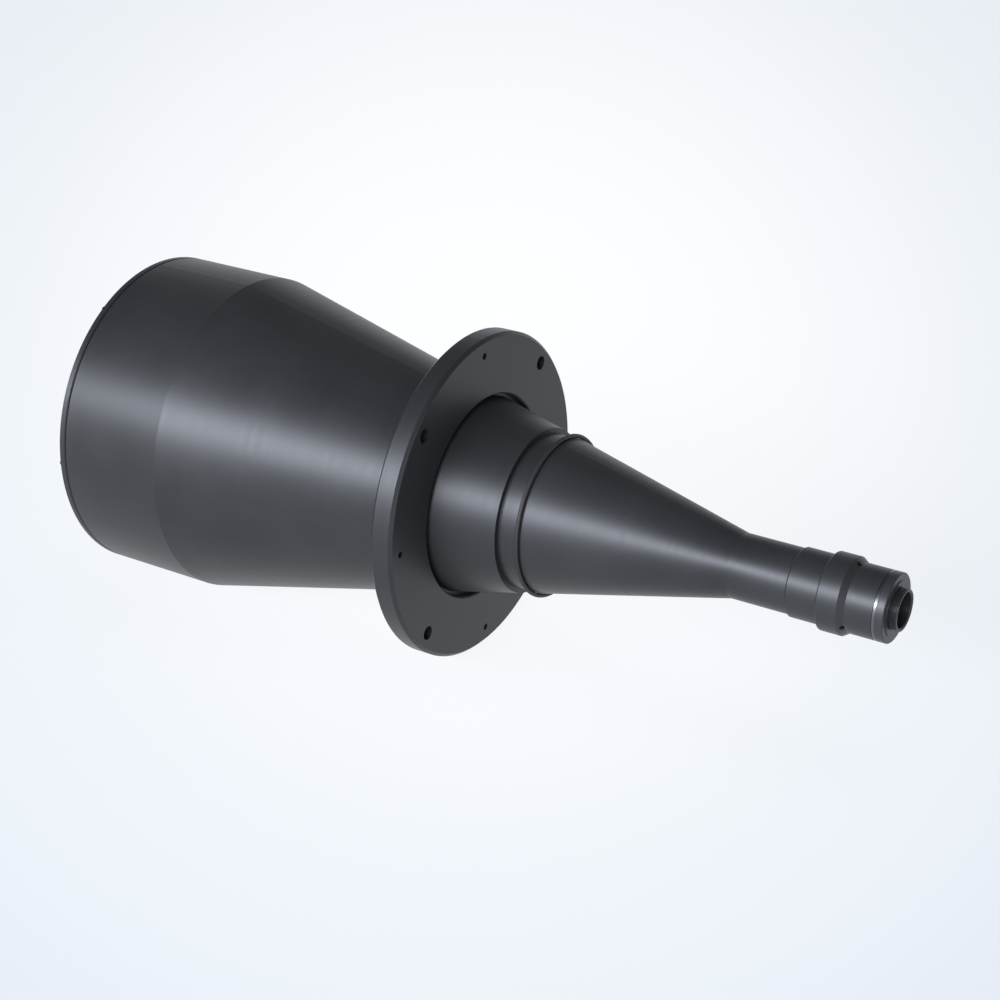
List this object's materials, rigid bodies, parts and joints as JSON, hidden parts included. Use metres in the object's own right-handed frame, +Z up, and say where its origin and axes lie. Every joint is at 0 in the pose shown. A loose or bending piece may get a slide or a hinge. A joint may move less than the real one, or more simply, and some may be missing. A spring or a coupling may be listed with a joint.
{
  "type": "telecentric lens",
  "caption": "Large telecentric camera lens: wide front barrel, conical body, round mounting flange, slim rear tube and a turning threaded camera mount.",
  "frame": {"origin": "on the optical axis, at the rear face of the mounting flange, the centre of its holes", "axes": "+X along the optical axis to the camera mount, -X to the front glass, +Z up"},
  "size_m": [0.5361, 0.208, 0.208],
  "materials": {
    "black_anodised": "satin black anodised",
    "mount_anodised": "satin dark grey anodised",
    "matt_black": "matt black, against stray light",
    "screw_steel": "black oxide",
    "shim_steel": "fine ground, black oxide",
    "seal_rubber": "matt",
    "coated_glass": "polished, anti-reflection coated"
  },
  "bodies": {
    "lens_body": {"front_retaining_ring": "black_anodised", "front_ring_screws": "screw_steel", "front_seal": "seal_rubber", "front_lens": "coated_glass", "front_spacer": "matt_black", "doublet_crown": "coated_glass", "doublet_flint": "coated_glass", "front_housing": "black_anodised", "mounting_flange": "black_anodised", "glare_baffle": "matt_black", "rear_cone": "black_anodised", "cone_seal_ring": "seal_rubber", "stop_tube": "black_anodised", "aperture_stop": "matt_black", "stop_retaining_ring": "matt_black", "rear_sleeve": "black_anodised", "mount_set_screws": "screw_steel", "rear_lens_front": "coated_glass", "rear_spacer": "matt_black", "rear_lens_back": "coated_glass", "rear_retaining_ring": "matt_black"},
    "turning_mount": {"camera_mount": "mount_anodised", "mount_shim": "shim_steel"}
  },
  "joints": [
    {"name": "camera_mount_turn", "type": "hinge", "parent": "lens_body", "child": "turning_mount", "pos_m": [0.27, 0, 0], "axis": [1, 0, 0], "continuous": true}
  ]
}
